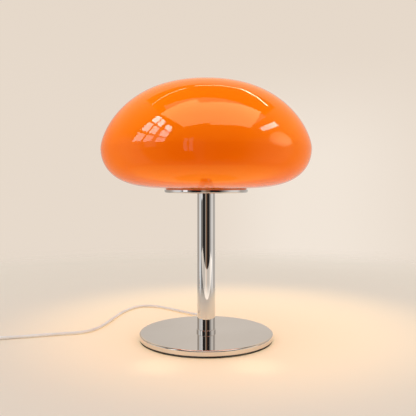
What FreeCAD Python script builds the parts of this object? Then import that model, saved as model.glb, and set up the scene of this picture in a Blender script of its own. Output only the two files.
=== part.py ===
"""Mushroom table lamp: a blown glass shade resting on a chrome stem and a flat round base.

The lamp stands on the plane z = 0 with its stem on the Z axis; +Y is the back, where the
cord leaves, and +Z is up. All sizes are millimetres. The glass shade lifts off its seat, and
the cord carries a push switch, a tied coil and a flat plug.
"""
import FreeCAD, Part
import math
import os
import Sketcher
from FreeCAD import Placement, Rotation, Vector

DOC = FreeCAD.newDocument("MushroomLamp")
SHEET = DOC.addObject("Spreadsheet::Sheet", "Sizes")
PARTS = []

# ---------------------------------------------------------------- driving sizes
# A size that must fit another one is a formula of the rows above it.
DRIVING_SIZES = [
    ("base_radius", 67.0, "outside of the chrome base"),
    ("pad_thick", 2.0, "black foot pad"),
    ("pad_inset", 0.4, "how far the pad stays inside the base's edge"),
    ("pad_opening_radius", 20.0, "opening in the pad round the nut"),
    ("cover_height", 5.0, "height of the chrome base cover's skirt"),
    ("cover_wall", 1.0, "sheet thickness of the base cover"),
    ("cover_edge_round", 1.4, "rounding of the base cover's top edge"),
    ("weight_gap", 0.6, "gap between the steel weight and the cover's skirt"),
    ("weight_opening_radius", 14.0, "opening in the weight round the nut"),
    ("rod_radius", 5.0, "outside of the hollow threaded rod"),
    ("rod_bore_radius", 4.0, "bore of the threaded rod"),
    ("rod_hole_gap", 0.3, "clearance of the holes that the rod passes"),
    ("rod_proud", 0.6, "rod standing out of its upper nut"),
    ("nut_flats", 14.0, "thin hexagon nut across its flats"),
    ("nut_thick", 2.6, "thin hexagon nut"),
    ("washer_radius", 10.0, "flat washer under each nut"),
    ("washer_thick", 0.8, "flat washer"),
    ("thread_gap", 0.03, "running gap between the rod and its nuts and washers"),
    ("stem_radius", 9.0, "outside of the chrome stem tube"),
    ("stem_wall", 1.0, "wall of the stem tube"),
    ("stem_length", 140.0, "stem tube from the base cover to the shade plate"),
    ("bush_length", 8.0, "plastic bush that centres the rod in the stem"),
    ("bush_gap", 0.05, "running gap of the bushes"),
    ("foot_ring_radius", 9.7, "collar round the foot of the stem"),
    ("foot_ring_height", 2.8, "height of that collar"),
    ("foot_ring_round", 0.5, "rounding of the collar's upper edge"),
    ("plate_radius", 42.0, "chrome plate that carries the shade"),
    ("plate_thick", 3.0, "thickness of the shade plate"),
    ("plate_edge_round", 1.4, "rounding of the plate's lower edge"),
    ("gasket_outer_radius", 40.5, "rim of the clear gasket"),
    ("gasket_width", 7.0, "clear gasket from its bore to its rim"),
    ("gasket_gap", 0.3, "clearance of the gasket's bore round the tray's flange"),
    ("gasket_thick", 1.0, "flat of the gasket under the glass"),
    ("gasket_lip_wall", 1.0, "upright lip that centres the glass"),
    ("gasket_lip_gap", 0.5, "clearance of the glass's opening round that lip"),
    ("gasket_lip_height", 3.5, "height of that lip above the plate"),
    ("seat_gap", 0.3, "gap left between the glass and its gasket"),
    ("shade_radius", 105.0, "widest radius of the glass shade"),
    ("shade_above", 69.1, "crown of the shade above its widest line"),
    ("shade_below", 39.6, "ground rim of the shade below its widest line"),
    ("shade_wall", 2.5, "thickness of the blown glass"),
    ("shade_opening_radius", "=gasket_outer_radius - gasket_width + gasket_lip_wall + gasket_lip_gap",
     "opening in the bottom of the glass"),
    ("shade_seat_width", 8.0, "ground seat round that opening"),
    ("shade_rim_radius", "=shade_opening_radius + shade_seat_width", "outer edge of the ground seat"),
    ("sink_flange_radius", "=gasket_outer_radius - gasket_width - gasket_gap",
     "flange of the tray that centres the gasket"),
    ("sink_flange_width", 2.2, "flange outside the wall of the tray"),
    ("sink_radius", "=sink_flange_radius - sink_flange_width", "cast light tray"),
    ("sink_height", 6.0, "height of the light tray above the plate"),
    ("sink_flange_height", 1.8, "height of that flange"),
    ("sink_step_height", 3.5, "ledge that the diffuser sits on"),
    ("diffuser_radius", "=sink_radius", "opal diffuser, flush with the tray"),
    ("diffuser_wall", 1.5, "wall of the diffuser"),
    ("diffuser_gap", 0.2, "clearance of the diffuser round the tray's spigot"),
    ("sink_step_radius", "=diffuser_radius - diffuser_wall - diffuser_gap", "that spigot"),
    ("sink_recess_radius", 13.0, "recess over the upper nut"),
    ("sink_recess_depth", 4.4, "depth of that recess"),
    ("lead_hole_radius", 4.0, "hole for the lead through tray and board"),
    ("board_inset", 3.3, "light board inside the edge of the spigot"),
    ("board_radius", "=sink_step_radius - board_inset", "round light board"),
    ("board_thick", 1.2, "thickness of the light board"),
    ("chip_ring_radius", 16.5, "ring of light chips"),
    ("chip_length", 3.5, "light chip along the ring's radius"),
    ("chip_width", 2.8, "light chip across"),
    ("chip_height", 0.8, "light chip"),
    ("tray_screw_inset", 3.5, "screws inside the edge of the light board"),
    ("tray_screw_ring", "=board_radius - tray_screw_inset", "ring of the screws through board and tray"),
    ("tray_screw_radius", 1.5, "shank of those screws"),
    ("tray_screw_head_radius", 2.7, "pan head"),
    ("tray_screw_head_height", 1.6, "pan head"),
    ("tray_screw_length", 9.6, "shank below the head"),
    ("tray_screw_gap", 0.1, "clearance of the screw holes"),
    ("diffuser_height", 16.5, "diffuser above its ledge"),
    ("diffuser_round", 8.0, "rounding of the diffuser's shoulder"),
    ("socket_length", 5.0, "lead socket on the board, along the lead"),
    ("socket_width", 4.0, "lead socket across"),
    ("socket_height", 3.4, "lead socket above the board"),
    ("socket_reach", 6.6, "near face of the socket from the axis"),
    ("cord_radius", 1.5, "outside of the round cord"),
    ("cord_height", 4.0, "cord axis where it enters the base"),
    ("cord_gap", 0.05, "running gap round the cord"),
    ("lead_radius", 1.1, "twin inner lead inside the stem"),
    ("lead_turn_radius", 4.0, "bend of the inner lead at both ends of the rod"),
    ("lead_height", 1.35, "inner lead's axis where it passes under the rod"),
    ("lead_straight", 3.0, "inner lead straight on from the sheath before it dips"),
    ("lead_dip_inset", 1.0, "foot of that dip inside the weight's opening"),
    ("sheath_end", 26.0, "end of the cord's sheath from the axis"),
    ("stop_wall", 0.4, "crimped stop ring on the sheath"),
    ("stop_length", 3.0, "crimped stop ring"),
    ("stop_inset", 21.0, "rear face of the stop ring inside the base's edge"),
    ("channel_width", 6.4, "cord channel in the weight, inner stretch"),
    ("channel_neck", 3.6, "cord channel where it holds the stop ring"),
    ("bushing_width", 8.0, "cord bushing inside the skirt"),
    ("bushing_depth", 3.0, "cord bushing inside the skirt"),
    ("bushing_setback", 0.3, "cord bushing behind the skirt's curved wall"),
    ("bushing_neck", 4.2, "cord bushing in the skirt's notch"),
    ("bushing_nose_length", 7.0, "tapered nose behind the base"),
    ("bushing_nose_root", 2.7, "radius of the nose at the base"),
    ("bushing_nose_tip", 2.0, "radius of the nose at its tip"),
    ("rubber_gap", 0.05, "gap round the rubber bushing"),
    ("case_length", 42.0, "push switch on the cord"),
    ("case_width", 16.0, "push switch on the cord"),
    ("case_half", 5.0, "height of each half of the switch case"),
    ("case_wall", 1.4, "wall of the switch case"),
    ("case_corner", 5.0, "corner radius of the switch case seen from above"),
    ("case_round", 1.8, "rounding of its upper and lower edges"),
    ("boss_radius", 2.2, "screw boss in the switch case"),
    ("boss_x", 14.5, "screw boss from the middle, along the case"),
    ("boss_y", 4.2, "screw boss from the middle, across the case"),
    ("case_screw_radius", 0.85, "shank of the case screw"),
    ("case_screw_head", 1.7, "head radius of the case screw"),
    ("case_screw_depth", 1.0, "head height of the case screw"),
    ("case_screw_length", 8.2, "whole length of the case screw"),
    ("case_screw_gap", 0.05, "clearance round the case screw"),
    ("switch_board_length", 23.0, "board in the switch"),
    ("switch_board_width", 11.0, "board in the switch"),
    ("switch_board_thick", 1.0, "board in the switch"),
    ("switch_rib_height", 0.4, "ribs that carry the board"),
    ("contact_block_side", 6.0, "push contact on the board"),
    ("contact_block_height", 2.8, "push contact on the board"),
    ("plunger_radius", 1.7, "plunger of the push contact"),
    ("plunger_length", 2.2, "plunger of the push contact"),
    ("button_radius", 4.5, "push button"),
    ("button_gap", 0.2, "gap round the push button"),
    ("button_proud", 1.1, "button above the case"),
    ("button_flange", 1.0, "flange that keeps the button in the case"),
    ("button_flange_thick", 1.0, "thickness of that flange"),
    ("button_travel", 0.8, "travel of the push button"),
    ("plug_nose_length", 8.0, "tapered back end of the plug"),
    ("plug_nose_root", 3.2, "radius of the nose at the grip"),
    ("plug_nose_tip", 2.2, "radius of the nose at the cord"),
    ("plug_grip_length", 24.0, "moulded grip of the plug"),
    ("plug_grip_width", 15.6, "moulded grip of the plug"),
    ("plug_grip_height", 8.0, "moulded grip of the plug"),
    ("plug_grip_round", 1.6, "rounding of the grip's edges"),
    ("plug_shell_width", 12.0, "metal sleeve of the plug"),
    ("plug_shell_height", 4.5, "metal sleeve of the plug"),
    ("plug_shell_wall", 0.3, "metal sleeve of the plug"),
    ("plug_shell_length", 12.0, "metal sleeve outside the grip"),
    ("plug_shell_buried", 6.0, "metal sleeve inside the grip"),
    ("plug_fit", 0.05, "gap between the plug's own pieces"),
    ("tongue_height", 1.9, "insulating tongue in the sleeve"),
    ("tongue_setback", 0.6, "tongue behind the sleeve's mouth"),
    ("contact_width", 1.1, "gilt contact on the tongue"),
    ("contact_length", 7.0, "gilt contact on the tongue"),
    ("contact_thick", 0.2, "gilt contact on the tongue"),
    ("contact_pitch", 2.3, "spacing of the contacts"),
    ("coil_middle_radius", 16.6, "middle radius of the wound cord"),
    ("coil_pitch", 3.5, "turn to turn and layer to layer"),
    ("coil_lift", 0.9, "coil above the table, on its tie"),
    ("tie_wall", 0.6, "strap of the coil's tie"),
    ("tie_width", 7.0, "strap of the coil's tie"),
    ("tie_gap", 0.3, "strap round the turns"),
    ("tie_tail", 9.0, "loose end of the strap"),
]

# Shape numbers of the blown glass: its section is a rounded oval whose exponents say how
# full the crown and the belly are (2 and 2 would be an ellipse).
CROWN_RADIUS_POWER = 2.42
CROWN_HEIGHT_POWER = 1.585
BELLY_RADIUS_POWER = 4.52
BELLY_HEIGHT_POWER = 2.09
CROWN_POINTS = 9
BELLY_POINTS = 8

# Where the loose pieces lie on the table, and the route of the cord: points picked by hand.
SWITCH_PLACE = Vector(-273, -16, 0)
COIL_PLACE = Vector(-304, 26, 0)
PLUG_TAIL = Vector(-292, 61.8, 4.3)
FLOOR_RUN = [
    (0, 87, 4.0), (-9, 98, 2.6), (-25, 109, 1.5), (-46, 128, 1.5), (-66, 143, 1.5),
    (-86, 141, 1.5), (-99, 113, 1.5), (-106, 78, 1.5), (-112, 42, 1.5), (-124, 17, 1.5),
    (-151, 11, 1.5), (-181, 2, 1.5), (-210, -6, 1.5), (-232, -16, 5.0),
]
COIL_APPROACH = [(-309.3, -16, 5.0), (-319.7, -10, 3.7), (-325.85, 0.4, 2.4)]
PLUG_APPROACH = [(-325.85, 44, 12.9), (-319.2, 55.3, 8.6), (-307.9, 61.8, 4.3)]
CORD_INSIDE_CASE = 11.0
COIL_TURNS = 12
TURNS_PER_LAYER = 3
STEPS_PER_TURN = 4
TIE_ANGLE = -35.0
CLIMB_TURNS = 0.5
TURN_NUDGE = 1e-4
GAP_POINTS_PER_TURN = 36
GAP_POINTS_APART = 12
CHIP_COUNT = 12
TRAY_SCREWS = 3
CONTACT_COUNT = 4

# How far a cutter runs past what it cuts, the share of its runs that each bend of the cord
# takes up, and how near two lengths are when they are taken as the same.
OVERSHOOT = 1.0
BEND_SHARE = 0.45
SAME = 1e-3


# ---------------------------------------------------------------- sizes and their formulas
class Size:
    """A length that knows its value and the spreadsheet formula that gives it."""

    def __init__(self, value, formula):
        self.value = value
        self.formula = formula

    def joined(self, other, sign, value):
        return Size(value, "({} {} {})".format(self.formula, sign, other.formula))

    def __add__(self, other):
        other = as_size(other)
        return self.joined(other, "+", self.value + other.value)

    def __sub__(self, other):
        other = as_size(other)
        return self.joined(other, "-", self.value - other.value)

    def __mul__(self, other):
        other = as_size(other)
        return self.joined(other, "*", self.value * other.value)

    def __truediv__(self, other):
        other = as_size(other)
        return self.joined(other, "/", self.value / other.value)

    def __neg__(self):
        return as_size(0.0) - self


def as_size(number):
    if isinstance(number, Size):
        return number
    return Size(float(number), "{:.6f}".format(number))


def fill_sheet():
    """Write one row per size: its name, its value or the formula that gives it, and what it is."""
    for row, (name, value, meaning) in enumerate(DRIVING_SIZES, start=1):
        SHEET.set("A{}".format(row), name)
        SHEET.set("B{}".format(row), str(value))
        SHEET.setAlias("B{}".format(row), name)
        SHEET.set("C{}".format(row), meaning)
    DOC.recompute()


class Sizes:
    """The driving sizes by name, read back from the sheet."""

    def __init__(self):
        for name, _, _ in DRIVING_SIZES:
            setattr(self, name, Size(float(SHEET.get(name)), "Sizes." + name))


def bind(thing, setting, size):
    """Tie one property of an object to the sheet."""
    thing.setExpression(setting, as_size(size).formula)


# ---------------------------------------------------------------- sketches and features
def new_body(label):
    body = DOC.addObject("PartDesign::Body", label)
    body.Label = label
    PARTS.append(body)
    return body


def origin_plane(body, role):
    return next(item for item in body.Origin.OriginFeatures if item.Role == role)


def new_sketch(body, role, name, offset=None):
    """A sketch on one of the body's own planes, lifted along that plane's normal."""
    sketch = body.newObject("Sketcher::SketchObject", name)
    sketch.AttachmentSupport = (origin_plane(body, role), [""])
    sketch.MapMode = "FlatFace"
    if offset is not None:
        bind(sketch, "AttachmentOffset.Base.z", offset)
        DOC.recompute()
    return sketch


def hold(sketch, kind, geometry, corner, size):
    """Fix one coordinate of a sketch point: zero sits on the axis, the rest follow the sheet."""
    axis = {"DistanceX": -2, "DistanceY": -1}[kind]
    if not isinstance(size, Size):
        if size == 0:
            sketch.addConstraint(Sketcher.Constraint("PointOnObject", geometry, corner, axis))
            return
        size = as_size(size)
    number = sketch.addConstraint(Sketcher.Constraint(kind, -1, 1, geometry, corner, size.value))
    sketch.setExpression("Constraints[{}]".format(number), size.formula)


def draw_outline(sketch, corners):
    """A closed outline of straight lines through corners given as pairs of sizes."""
    spots = [Vector(as_size(x).value, as_size(y).value, 0) for x, y in corners]
    count = len(spots)
    first = sketch.GeometryCount
    for index in range(count):
        sketch.addGeometry(Part.LineSegment(spots[index], spots[(index + 1) % count]), False)
    for index in range(count):
        following = first + (index + 1) % count
        sketch.addConstraint(Sketcher.Constraint("Coincident", first + index, 2, following, 1))
    for index, (x, y) in enumerate(corners):
        hold(sketch, "DistanceX", first + index, 1, x)
        hold(sketch, "DistanceY", first + index, 1, y)


def draw_rectangle(sketch, left, right, low, high):
    draw_outline(sketch, [(left, low), (right, low), (right, high), (left, high)])


def draw_circle(sketch, x, y, radius):
    centre = Vector(as_size(x).value, as_size(y).value, 0)
    circle = sketch.addGeometry(Part.Circle(centre, Vector(0, 0, 1), as_size(radius).value), False)
    hold(sketch, "DistanceX", circle, 3, x)
    hold(sketch, "DistanceY", circle, 3, y)
    number = sketch.addConstraint(Sketcher.Constraint("Radius", circle, as_size(radius).value))
    sketch.setExpression("Constraints[{}]".format(number), as_size(radius).formula)


def draw_rounded_rectangle(sketch, length, width, corner):
    """A rectangle centred on the sketch's origin, with four equal corner arcs."""
    half_x, half_y, bend = length.value / 2, width.value / 2, corner.value
    turns = [(1, 1), (-1, 1), (-1, -1), (1, -1)]
    arcs = []
    for quarter, (side_x, side_y) in enumerate(turns):
        centre = Vector(side_x * (half_x - bend), side_y * (half_y - bend), 0)
        circle = Part.Circle(centre, Vector(0, 0, 1), bend)
        start = quarter * math.pi / 2
        arcs.append(sketch.addGeometry(Part.ArcOfCircle(circle, start, start + math.pi / 2), False))
    for quarter in range(4):
        here, following = arcs[quarter], arcs[(quarter + 1) % 4]
        run = Part.LineSegment(sketch.getPoint(here, 2), sketch.getPoint(following, 1))
        line = sketch.addGeometry(run, False)
        sketch.addConstraint(Sketcher.Constraint("Tangent", here, 2, line, 1))
        sketch.addConstraint(Sketcher.Constraint("Tangent", line, 2, following, 1))
        side = "Horizontal" if quarter % 2 == 0 else "Vertical"
        sketch.addConstraint(Sketcher.Constraint(side, line))
        if quarter > 0:
            sketch.addConstraint(Sketcher.Constraint("Equal", arcs[0], here))
        kind, place = [("DistanceY", width / 2), ("DistanceX", -(length / 2)),
                       ("DistanceY", -(width / 2)), ("DistanceX", length / 2)][quarter]
        hold(sketch, kind, line, 1, place)
    number = sketch.addConstraint(Sketcher.Constraint("Radius", arcs[0], bend))
    sketch.setExpression("Constraints[{}]".format(number), corner.formula)


def revolve(body, sketch):
    turn = body.newObject("PartDesign::Revolution", body.Label + "_turn")
    turn.Profile = sketch
    turn.ReferenceAxis = (sketch, ["V_Axis"])
    turn.Angle = 360
    DOC.recompute()
    return turn


def turned(label, corners):
    """A body turned about its Z axis from an outline of (radius, height) pairs."""
    body = new_body(label)
    sketch = new_sketch(body, "XZ_Plane", label + "_section")
    draw_outline(sketch, corners)
    revolve(body, sketch)
    return body


def pad(body, sketch, length):
    feature = body.newObject("PartDesign::Pad", sketch.Name + "_pad")
    feature.Profile = sketch
    bind(feature, "Length", length)
    DOC.recompute()
    return feature


def pocket(body, sketch, length):
    """Cut along the sketch's own normal reversed, and make sure that something was cut."""
    before = body.Shape.Volume
    feature = body.newObject("PartDesign::Pocket", sketch.Name + "_pocket")
    feature.Profile = sketch
    bind(feature, "Length", length)
    DOC.recompute()
    if body.Shape.Volume > before - SAME:
        raise RuntimeError(sketch.Name + " cut nothing")
    return feature


def around(body, feature, count):
    """Repeat a feature about the body's Z axis."""
    pattern = body.newObject("PartDesign::PolarPattern", feature.Name + "_ring")
    pattern.Originals = [feature]
    axis = next(item for item in body.Origin.OriginFeatures if item.Role == "Z_Axis")
    pattern.Axis = (axis, [""])
    pattern.Angle = 360
    pattern.Occurrences = count
    body.Tip = pattern
    DOC.recompute()
    return pattern


def rounded(body, size, keep):
    """Round the edges of the body that the test keep(edge) picks."""
    base = body.Tip
    shape = base.Shape
    names = ["Edge{}".format(n) for n, edge in enumerate(shape.Edges, start=1) if keep(edge)]
    if not names:
        raise RuntimeError(body.Label + " has no edge to round")
    fillet = body.newObject("PartDesign::Fillet", body.Label + "_round")
    fillet.Base = (base, names)
    bind(fillet, "Radius", size)
    DOC.recompute()
    return fillet


def on_rim(radius, height):
    """Picks the circular edge of that radius at that height."""
    radius, height = as_size(radius).value, as_size(height).value

    def keep(edge):
        curve = edge.Curve
        if not isinstance(curve, Part.Circle):
            return False
        return abs(curve.Radius - radius) < SAME and abs(curve.Center.z - height) < SAME
    return keep


def at_height(height):
    """Picks the edges that lie wholly at that height."""
    height = as_size(height).value

    def keep(edge):
        box = edge.BoundBox
        return abs(box.ZMin - height) < SAME and abs(box.ZMax - height) < SAME
    return keep


# ---------------------------------------------------------------- simple solids and groups
def move(thing, x, y, z):
    for letter, size in zip("xyz", (x, y, z)):
        bind(thing, "Placement.Base." + letter, size)


def block(name, length, width, height, x, y, z):
    """A box whose lowest corner is at x, y, z."""
    box = DOC.addObject("Part::Box", name)
    bind(box, "Length", length)
    bind(box, "Width", width)
    bind(box, "Height", height)
    move(box, x, y, z)
    return box


def centred_block(name, length, width, height, x, y, z):
    """A box centred on x and y that stands on z."""
    return block(name, length, width, height, x - length / 2, y - width / 2, z)


def rod(name, radius, height, x, y, z):
    cylinder = DOC.addObject("Part::Cylinder", name)
    bind(cylinder, "Radius", radius)
    bind(cylinder, "Height", height)
    move(cylinder, x, y, z)
    return cylinder


def laid_along(thing, axis):
    """Turn a solid whose own axis is Z so that it lies along +X or +Y."""
    turns = {"X": Rotation(Vector(0, 1, 0), 90), "Y": Rotation(Vector(1, 0, 0), -90)}
    place = thing.Placement
    thing.Placement = Placement(place.Base, turns[axis])
    return thing


def fused(name, solids):
    union = DOC.addObject("Part::MultiFuse", name)
    union.Shapes = solids
    union.Refine = True
    return union


def without(name, base, tool):
    cut = DOC.addObject("Part::Cut", name)
    cut.Base = base
    cut.Tool = tool
    return cut


def group(label, solids):
    bundle = DOC.addObject("Part::Compound", label)
    bundle.Label = label
    bundle.Links = solids
    PARTS.append(bundle)
    return bundle


def finished(label, thing):
    thing.Label = label
    PARTS.append(thing)
    return thing


def placed_feature(label, shape):
    feature = DOC.addObject("Part::Feature", label)
    feature.Shape = shape
    feature.Label = label
    PARTS.append(feature)
    return feature


# ---------------------------------------------------------------- base
def make_base(s):
    cover_top = s.pad_thick + s.cover_height
    ceiling = cover_top - s.cover_wall
    skirt_inside = s.base_radius - s.cover_wall
    hole = s.rod_radius + s.rod_hole_gap

    cover = turned("base_cover", [
        (hole, ceiling), (skirt_inside, ceiling), (skirt_inside, s.pad_thick),
        (s.base_radius, s.pad_thick), (s.base_radius, cover_top), (hole, cover_top)])
    rounded(cover, s.cover_edge_round, on_rim(s.base_radius, cover_top))
    notch = new_sketch(cover, "XZ_Plane", "cord_notch")
    half_notch = s.bushing_neck / 2 + s.rubber_gap
    draw_rectangle(notch, -half_notch, half_notch, s.pad_thick, ceiling)
    pocket(cover, notch, s.base_radius + s.cover_wall)

    make_weight(s, ceiling, skirt_inside)

    pad_radius = s.base_radius - s.pad_inset
    foot = turned("foot_pad", [
        (s.pad_opening_radius, 0), (pad_radius, 0),
        (pad_radius, s.pad_thick), (s.pad_opening_radius, s.pad_thick)])
    rounded(foot, s.pad_inset, on_rim(pad_radius, 0))

    washer_low = ceiling - s.washer_thick
    make_washer(s, "base_washer", washer_low)
    make_nut(s, "base_nut", washer_low - s.nut_thick)
    return cover_top, ceiling, washer_low - s.nut_thick


def make_weight(s, ceiling, skirt_inside):
    """The steel disc that keeps the lamp upright, with a channel for the cord."""
    radius = skirt_inside - s.weight_gap
    weight = turned("base_weight", [
        (s.weight_opening_radius, s.pad_thick), (radius, s.pad_thick),
        (radius, ceiling), (s.weight_opening_radius, ceiling)])
    bushing_start = skirt_inside - s.bushing_setback - s.bushing_depth - s.rubber_gap
    stop_face = s.base_radius - s.stop_inset
    stretches = [
        ("channel_inner", s.channel_width, as_size(0), stop_face + s.rubber_gap),
        ("channel_narrow", s.channel_neck, as_size(0), s.base_radius),
        ("channel_bushing", s.bushing_width + s.rubber_gap * 2, bushing_start, s.base_radius),
    ]
    for name, width, start, end in stretches:
        sketch = new_sketch(weight, "XY_Plane", name, ceiling)
        draw_rectangle(sketch, -(width / 2), width / 2, start, end)
        pocket(weight, sketch, ceiling - s.pad_thick)


def make_washer(s, label, low):
    bore = s.rod_radius + s.thread_gap
    return turned(label, [(bore, low), (s.washer_radius, low),
                          (s.washer_radius, low + s.washer_thick), (bore, low + s.washer_thick)])


def make_nut(s, label, low):
    """A thin hexagon nut on the rod, standing on the height low."""
    nut = new_body(label)
    sketch = new_sketch(nut, "XY_Plane", label + "_hexagon", low)
    corner = s.nut_flats / math.sqrt(3.0)
    corners = []
    for sixth in range(6):
        angle = math.radians(60 * sixth)
        corners.append((corner * math.cos(angle), corner * math.sin(angle)))
    draw_outline(sketch, [(x, 0 if abs(y.value) < SAME else y) for x, y in corners])
    draw_circle(sketch, 0, 0, s.rod_radius + s.thread_gap)
    pad(nut, sketch, s.nut_thick)
    return nut


def make_bushing(s, ceiling):
    """The rubber bushing in the skirt's notch, with a tapered nose behind the base."""
    inner_face = s.base_radius - s.cover_wall - s.bushing_setback - s.bushing_depth
    height = ceiling - s.pad_thick - s.rubber_gap * 2
    low = s.pad_thick + s.rubber_gap
    nose_start = s.base_radius + s.rubber_gap * 2
    inner = block("bushing_block", s.bushing_width, s.bushing_depth, height,
                  -(s.bushing_width / 2), inner_face, low)
    neck = block("bushing_waist", s.bushing_neck, nose_start - inner_face, height,
                 -(s.bushing_neck / 2), inner_face, low)
    nose = DOC.addObject("Part::Cone", "bushing_nose")
    bind(nose, "Radius1", s.bushing_nose_root)
    bind(nose, "Radius2", s.bushing_nose_tip)
    bind(nose, "Height", s.bushing_nose_length)
    laid_along(nose, "Y")
    move(nose, 0, nose_start, s.cord_height)
    bore = rod("bushing_bore", s.cord_radius + s.cord_gap,
               s.bushing_nose_length + nose_start - inner_face + OVERSHOOT * 2, 0, 0, 0)
    laid_along(bore, "Y")
    move(bore, 0, inner_face - OVERSHOOT, s.cord_height)
    moulded = fused("bushing_moulding", [inner, neck, nose])
    finished("cord_bushing", without("bushing_bored", moulded, bore))
    return nose_start + s.bushing_nose_length


def make_cord_stop(s):
    """A crimped ring that bears on the narrow channel, so that the cord can't be pulled out."""
    outer = rod("stop_outer", s.cord_radius + s.cord_gap + s.stop_wall, s.stop_length, 0, 0, 0)
    hollow = rod("stop_hollow", s.cord_radius + s.cord_gap, s.stop_length + OVERSHOOT * 2, 0, 0, 0)
    start = s.base_radius - s.stop_inset - s.stop_length
    for piece, back in ((outer, as_size(0)), (hollow, as_size(OVERSHOOT))):
        laid_along(piece, "Y")
        move(piece, 0, start - back, s.cord_height)
    finished("cord_stop", without("stop_ring", outer, hollow))


# ---------------------------------------------------------------- stem
def make_stem(s, cover_top, rod_low):
    plate_low = cover_top + s.stem_length
    inside = s.stem_radius - s.stem_wall
    turned("stem_tube", [(inside, cover_top), (s.stem_radius, cover_top),
                         (s.stem_radius, plate_low), (inside, plate_low)])
    ring_bore = s.stem_radius + s.bush_gap
    ring_top = cover_top + s.foot_ring_height
    ring = turned("foot_ring", [(ring_bore, cover_top), (s.foot_ring_radius, cover_top),
                                (s.foot_ring_radius, ring_top), (ring_bore, ring_top)])
    rounded(ring, s.foot_ring_round, on_rim(s.foot_ring_radius, ring_top))
    for label, low in (("lower_bush", cover_top), ("upper_bush", plate_low - s.bush_length)):
        bore, rim = s.rod_radius + s.bush_gap, inside - s.bush_gap
        turned(label, [(bore, low), (rim, low), (rim, low + s.bush_length), (bore, low + s.bush_length)])
    plate_top = plate_low + s.plate_thick
    nut_low = plate_top + s.washer_thick
    rod_top = nut_low + s.nut_thick + s.rod_proud
    turned("threaded_rod", [(s.rod_bore_radius, rod_low), (s.rod_radius, rod_low),
                            (s.rod_radius, rod_top), (s.rod_bore_radius, rod_top)])
    make_washer(s, "plate_washer", plate_top)
    make_nut(s, "plate_nut", nut_low)
    return plate_low, plate_top


# ---------------------------------------------------------------- shade plate and light
def make_plate(s, plate_low, plate_top):
    hole = s.rod_radius + s.rod_hole_gap
    plate = turned("shade_plate", [(hole, plate_low), (s.plate_radius, plate_low),
                                   (s.plate_radius, plate_top), (hole, plate_top)])
    screw_holes(s, plate, plate_top, s.plate_thick)
    rounded(plate, s.plate_edge_round, on_rim(s.plate_radius, plate_low))
    flat_top = plate_top + s.gasket_thick
    bore = s.gasket_outer_radius - s.gasket_width
    lip_outer = bore + s.gasket_lip_wall
    lip_top = plate_top + s.gasket_lip_height
    turned("shade_gasket", [
        (bore, plate_top), (s.gasket_outer_radius, plate_top),
        (s.gasket_outer_radius, flat_top), (lip_outer, flat_top),
        (lip_outer, lip_top), (bore, lip_top)])
    return flat_top


def screw_holes(s, body, top, depth):
    sketch = new_sketch(body, "XY_Plane", body.Label + "_screw_hole", top)
    draw_circle(sketch, s.tray_screw_ring, 0, s.tray_screw_radius + s.tray_screw_gap)
    hole = pocket(body, sketch, depth)
    around(body, hole, TRAY_SCREWS)


def make_light(s, plate_top):
    flange_top = plate_top + s.sink_flange_height
    ledge = plate_top + s.sink_step_height
    tray_top = plate_top + s.sink_height
    recess_top = plate_top + s.sink_recess_depth
    tray = turned("light_tray", [
        (s.lead_hole_radius, recess_top), (s.sink_recess_radius, recess_top),
        (s.sink_recess_radius, plate_top), (s.sink_flange_radius, plate_top),
        (s.sink_flange_radius, flange_top), (s.sink_radius, flange_top), (s.sink_radius, ledge),
        (s.sink_step_radius, ledge), (s.sink_step_radius, tray_top), (s.lead_hole_radius, tray_top)])
    screw_holes(s, tray, tray_top, s.sink_height)

    board_top = tray_top + s.board_thick
    board = turned("light_board", [(s.lead_hole_radius, tray_top), (s.board_radius, tray_top),
                                   (s.board_radius, board_top), (s.lead_hole_radius, board_top)])
    screw_holes(s, board, board_top, s.board_thick)

    chips = []
    for index in range(CHIP_COUNT):
        angle = 360.0 * (index + 0.5) / CHIP_COUNT
        chip = DOC.addObject("Part::Box", "chip")
        bind(chip, "Length", s.chip_length)
        bind(chip, "Width", s.chip_width)
        bind(chip, "Height", s.chip_height)
        chip.Placement = Placement(Vector(0, 0, 0), Rotation(Vector(0, 0, 1), angle))
        cosine, sine = math.cos(math.radians(angle)), math.sin(math.radians(angle))
        near = s.chip_ring_radius - s.chip_length / 2
        half = s.chip_width / 2
        move(chip, near * cosine + half * sine, near * sine - half * cosine, board_top)
        chips.append(chip)
    group("light_chips", chips)

    screws = []
    for index in range(TRAY_SCREWS):
        angle = math.radians(360.0 * index / TRAY_SCREWS)
        x, y = s.tray_screw_ring * math.cos(angle), s.tray_screw_ring * math.sin(angle)
        head = rod("pan_head", s.tray_screw_head_radius, s.tray_screw_head_height, x, y, board_top)
        shank = rod("shank", s.tray_screw_radius, s.tray_screw_length, x, y,
                    board_top - s.tray_screw_length)
        screws.append(fused("tray_screw", [head, shank]))
    group("tray_screws", screws)

    make_diffuser(s, ledge)
    finished("lead_socket", block("socket", s.socket_length, s.socket_width, s.socket_height,
                                  s.socket_reach, -(s.socket_width / 2), board_top))
    return board_top


def make_diffuser(s, ledge):
    """An opal cap that sits on the tray's ledge and round its spigot."""
    inside = s.diffuser_radius - s.diffuser_wall
    top = ledge + s.diffuser_height
    ceiling = top - s.diffuser_wall
    cap = turned("light_diffuser", [(0, ceiling), (inside, ceiling), (inside, ledge),
                                    (s.diffuser_radius, ledge), (s.diffuser_radius, top), (0, top)])
    rounded(cap, s.diffuser_round, on_rim(s.diffuser_radius, top))
    rounded(cap, s.diffuser_round - s.diffuser_wall, on_rim(inside, ceiling))


# ---------------------------------------------------------------- blown glass shade
def oval_height(radius, widest, reach, radius_power, height_power):
    """How far from its widest line the oval has drawn in to this radius."""
    return reach * (1 - (radius / widest) ** radius_power) ** (1 / height_power)


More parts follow.
